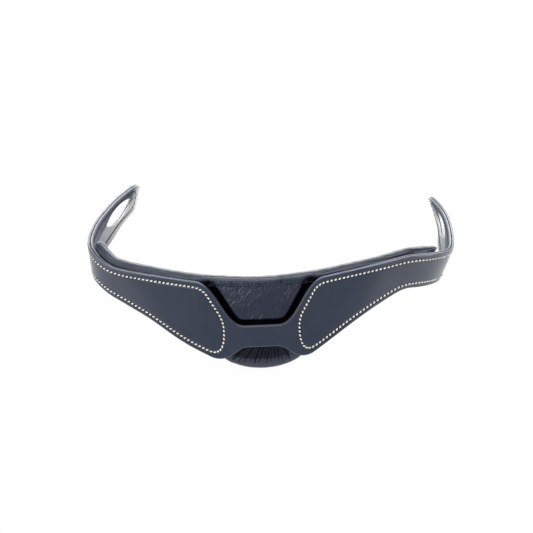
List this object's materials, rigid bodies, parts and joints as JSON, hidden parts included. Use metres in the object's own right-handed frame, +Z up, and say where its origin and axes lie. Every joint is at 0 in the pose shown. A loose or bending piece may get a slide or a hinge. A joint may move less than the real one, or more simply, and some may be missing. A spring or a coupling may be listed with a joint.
{
  "type": "breast collar",
  "caption": "Shaped leather breast collar of a pony's driving harness: a stitched strap with a lobed, padded front and two arms that end in long trace eyes.",
  "frame": {"origin": "the lowest point of the pad's foot, on the surface that the collar lies on", "axes": "+Z up, +X to the right as seen from the front, +Y from the front of the chest back along the arms"},
  "size_m": [0.3977, 0.2754, 0.1076],
  "materials": {
    "face_leather": "satin, fine pebbled grain, blue-black",
    "backing_leather": "satin, smooth, black, pale at the cut edge",
    "pad_leather": "soft glove leather with a slight sheen",
    "nylon_web": "matt woven nylon",
    "thread": "waxed off-white thread",
    "foam": "matt closed-cell foam"
  },
  "bodies": {
    "front": {"face_leather_front": "face_leather", "web_front": "nylon_web", "backing_leather_front": "backing_leather", "left_wing_stitches": "thread", "right_wing_stitches": "thread", "pad_front_cover": "pad_leather", "pad_back_cover": "pad_leather", "pad_roll_foam": "foam", "pad_panel_foam": "foam", "left_fixing_strip": "nylon_web", "right_fixing_strip": "nylon_web"},
    "left_arm": {"face_leather_left_arm": "face_leather", "web_left_arm": "nylon_web", "backing_leather_left_arm": "backing_leather", "left_arm_stitches": "thread"},
    "right_arm": {"face_leather_right_arm": "face_leather", "web_right_arm": "nylon_web", "backing_leather_right_arm": "backing_leather", "right_arm_stitches": "thread"}
  },
  "joints": [
    {"name": "left_arm_flex", "type": "hinge", "parent": "front", "child": "left_arm", "pos_m": [-0.17973, 0.08809, 0.07147], "axis": [-0.1081, 0.4046, 0.9081], "range_deg": [-20, 35], "stiffness_Nm_per_rad": 1.5},
    {"name": "right_arm_flex", "type": "hinge", "parent": "front", "child": "right_arm", "pos_m": [0.18161, 0.07953, 0.0736], "axis": [0.2077, 0.2408, 0.9481], "range_deg": [-35, 20], "stiffness_Nm_per_rad": 1.5}
  ]
}
